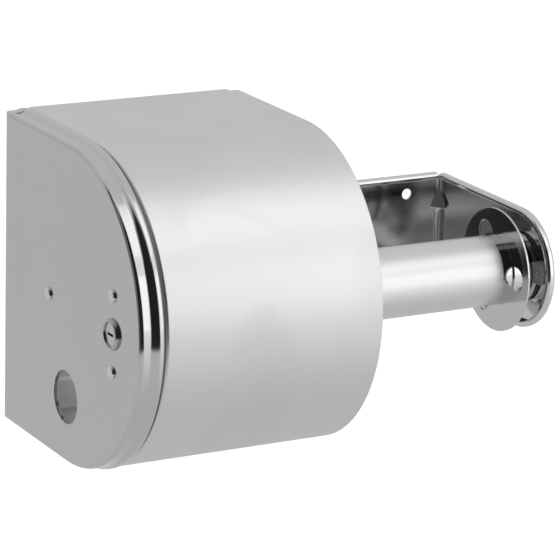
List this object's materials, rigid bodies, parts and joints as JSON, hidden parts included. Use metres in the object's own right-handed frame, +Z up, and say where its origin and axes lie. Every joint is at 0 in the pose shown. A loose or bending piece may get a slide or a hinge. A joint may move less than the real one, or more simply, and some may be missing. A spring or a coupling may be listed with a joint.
{
  "type": "double roll toilet tissue dispenser",
  "caption": "Wall-mounted toilet tissue dispenser in stainless steel: a spindle for a pair of rolls in an open frame, and a locking cover that slides off sideways.",
  "frame": {"origin": "middle of the four wall screw holes, on the wall plane, level with the spindle's axis", "axes": "+X to the right for someone facing the wall, -Y out from the wall, +Z up"},
  "size_m": [0.2716, 0.1647, 0.1694],
  "materials": {
    "frame_steel": "semi-mirror",
    "rail_steel": "mill",
    "turned_steel": "turned",
    "drag_plastic": "moulded",
    "rivet_steel": "bright",
    "cover_steel": "satin",
    "cap_steel": "satin face, polished edge",
    "lock_metal": "bright",
    "plated_steel": "zinc plated",
    "plug_metal": "satin",
    "tube_steel": "satin",
    "drum_steel": "mirror",
    "disc_steel": "polished",
    "bush_plastic": "moulded",
    "spring_steel": "drawn wire"
  },
  "bodies": {
    "frame": {"wall_frame": "frame_steel", "upper_rail": "rail_steel", "lower_rail": "rail_steel", "stub_axle": "turned_steel", "right_drag_block": "drag_plastic", "left_drag_block": "drag_plastic", "drag_rivets": "rivet_steel"},
    "cover": {"hood_wrap": "cover_steel", "end_cap": "cap_steel", "lock_plate": "rail_steel", "plate_rivets": "rivet_steel", "locating_stud": "rivet_steel", "lock_barrel": "lock_metal", "lock_nut": "plated_steel"},
    "lock": {"lock_plug": "plug_metal", "lock_cam": "plated_steel", "cam_washer": "plated_steel", "cam_screw": "plated_steel"},
    "spindle": {"spindle_tube": "tube_steel", "right_drum": "drum_steel", "left_drum": "drum_steel", "right_disc": "disc_steel", "left_disc": "disc_steel", "right_bush": "bush_plastic", "left_bush": "bush_plastic", "spring_seat": "turned_steel", "plunger_spring": "spring_steel"},
    "plunger": {"plunger": "turned_steel"}
  },
  "joints": [
    {"name": "cover_slide", "type": "slide", "parent": "frame", "child": "cover", "axis": [-1, 0, 0], "range_m": [0, 0.14]},
    {"name": "lock_turn", "type": "hinge", "parent": "cover", "child": "lock", "pos_m": [-0.139, -0.1324, 0.0066], "axis": [1, 0, 0], "range_deg": [0, 90]},
    {"name": "spindle_spin", "type": "hinge", "parent": "frame", "child": "spindle", "pos_m": [0, -0.087, 0], "axis": [1, 0, 0], "continuous": true},
    {"name": "plunger_press", "type": "slide", "parent": "spindle", "child": "plunger", "axis": [1, 0, 0], "range_m": [0, 0.006], "stiffness_N_per_m": 800, "deforming": ["plunger_spring"]}
  ]
}
